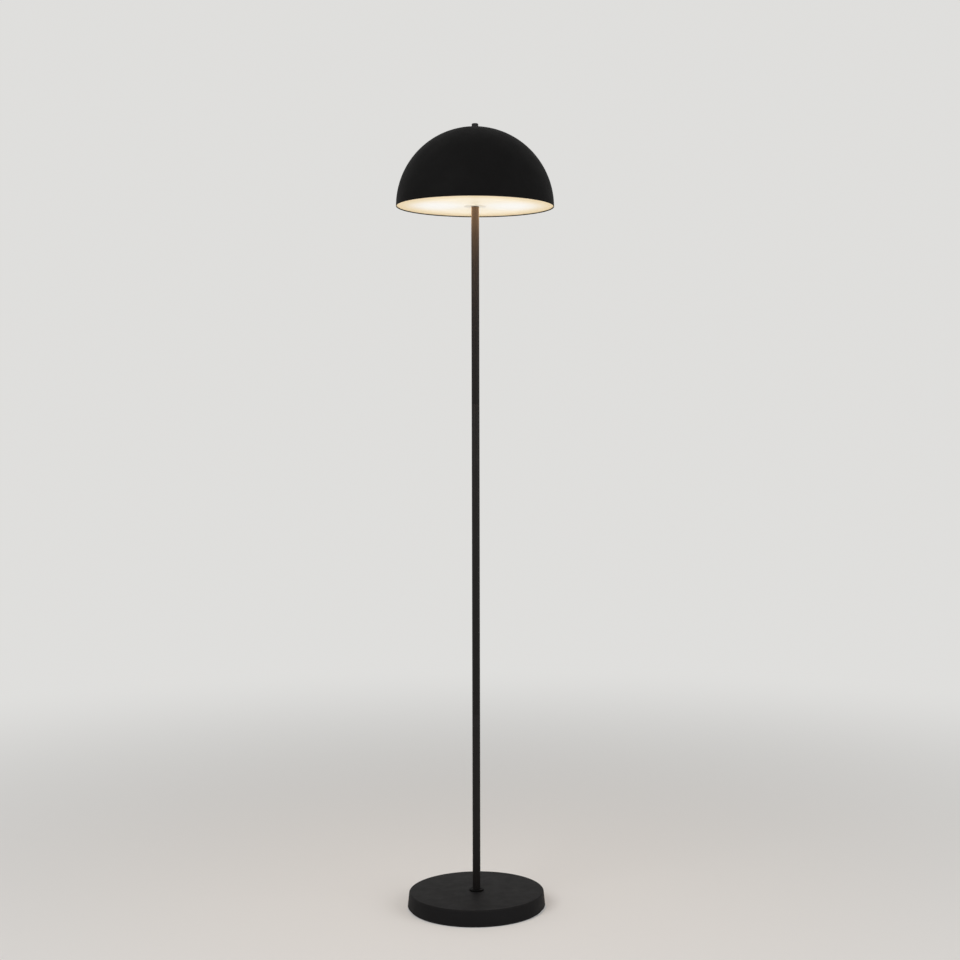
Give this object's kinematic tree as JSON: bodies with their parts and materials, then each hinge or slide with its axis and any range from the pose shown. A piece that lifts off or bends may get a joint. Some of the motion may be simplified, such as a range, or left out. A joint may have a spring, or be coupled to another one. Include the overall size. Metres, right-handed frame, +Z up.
{
  "type": "floor lamp",
  "caption": "Mushroom floor lamp: round weighted base, screwed tube pole, and a half-sphere metal shade over an opal disc with capsule bulbs inside.",
  "frame": {"origin": "on the floor under the pole's axis, at the middle of the base's underside", "axes": "+Z up along the pole; the picture looks along +Y, with +X to its right; the cable entry is at the rear, on +Y"},
  "size_m": [0.3, 0.3, 1.5],
  "materials": {
    "base_black": "matte powder coat with a fine grain",
    "pole_black": "matte powder coat",
    "collar_black": "satin black",
    "shade_black": "matte black outside, matte white inside",
    "finial_black": "satin black on a knurled nut",
    "opal": "opal acrylic, lit from above",
    "white_paint": "matte white",
    "zinc_steel": "zinc plated",
    "brass": "plain",
    "cast_iron": "as cast",
    "foam": "closed-cell foam",
    "gland_rubber": "soft black",
    "ceramic_white": "glazed",
    "bulb_white": "smooth white",
    "bulb_glass": "clear",
    "bulb_light": "warm white light strip",
    "terminal_white": "smooth",
    "lead_silicone": "silicone sleeve"
  },
  "bodies": {
    "stand": {"base_pad": "foam", "base_plate": "zinc_steel", "plate_screws": "zinc_steel", "base_weight": "cast_iron", "base_cover": "base_black", "cable_gland": "gland_rubber", "base_washer": "zinc_steel", "base_nut": "zinc_steel", "base_nipple": "zinc_steel", "base_collar": "collar_black", "pole_lower": "pole_black", "pole_middle": "pole_black", "pole_upper": "pole_black", "pole_lower_nipple": "zinc_steel", "pole_upper_nipple": "zinc_steel", "diffuser_ring": "opal", "diffuser": "opal", "hub": "white_paint", "hub_lid": "white_paint", "hub_nut": "zinc_steel", "hub_nipple": "zinc_steel", "terminal_bracket": "zinc_steel", "terminal_block": "terminal_white", "terminal_screws": "brass", "shade_rod": "zinc_steel", "rod_nuts": "zinc_steel", "shade_washer": "zinc_steel", "shade_nut": "zinc_steel", "pole_lower_bottom_insert": "zinc_steel", "pole_lower_top_insert": "zinc_steel", "pole_middle_bottom_insert": "zinc_steel", "pole_middle_top_insert": "zinc_steel", "pole_upper_bottom_insert": "zinc_steel", "pole_upper_top_insert": "zinc_steel", "leads_left": "lead_silicone", "holder_nipple_left": "zinc_steel", "holder_cup_left": "white_paint", "lampholder_left": "ceramic_white", "contacts_left": "brass", "leads_right": "lead_silicone", "holder_nipple_right": "zinc_steel", "holder_cup_right": "white_paint", "lampholder_right": "ceramic_white", "contacts_right": "brass"},
    "shade": {"shade": "shade_black"},
    "finial": {"finial": "finial_black"},
    "bulb_left": {"bulb_base_left": "bulb_white", "bulb_pins_left": "zinc_steel", "bulb_glass_left": "bulb_glass", "bulb_core_left": "bulb_light"},
    "bulb_right": {"bulb_base_right": "bulb_white", "bulb_pins_right": "zinc_steel", "bulb_glass_right": "bulb_glass", "bulb_core_right": "bulb_light"}
  },
  "joints": [
    {"name": "shade_lift", "type": "slide", "parent": "stand", "child": "shade", "axis": [0, 0, 1], "range_m": [0, 0.165]},
    {"name": "finial_turn", "type": "hinge", "parent": "shade", "child": "finial", "pos_m": [0, 0, 1.4922], "axis": [0, 0, 1], "continuous": true},
    {"name": "bulb_left_pull", "type": "slide", "parent": "stand", "child": "bulb_left", "axis": [-1, 0, 0], "range_m": [0, 0.02]},
    {"name": "bulb_right_pull", "type": "slide", "parent": "stand", "child": "bulb_right", "axis": [1, 0, 0], "range_m": [0, 0.02]}
  ]
}
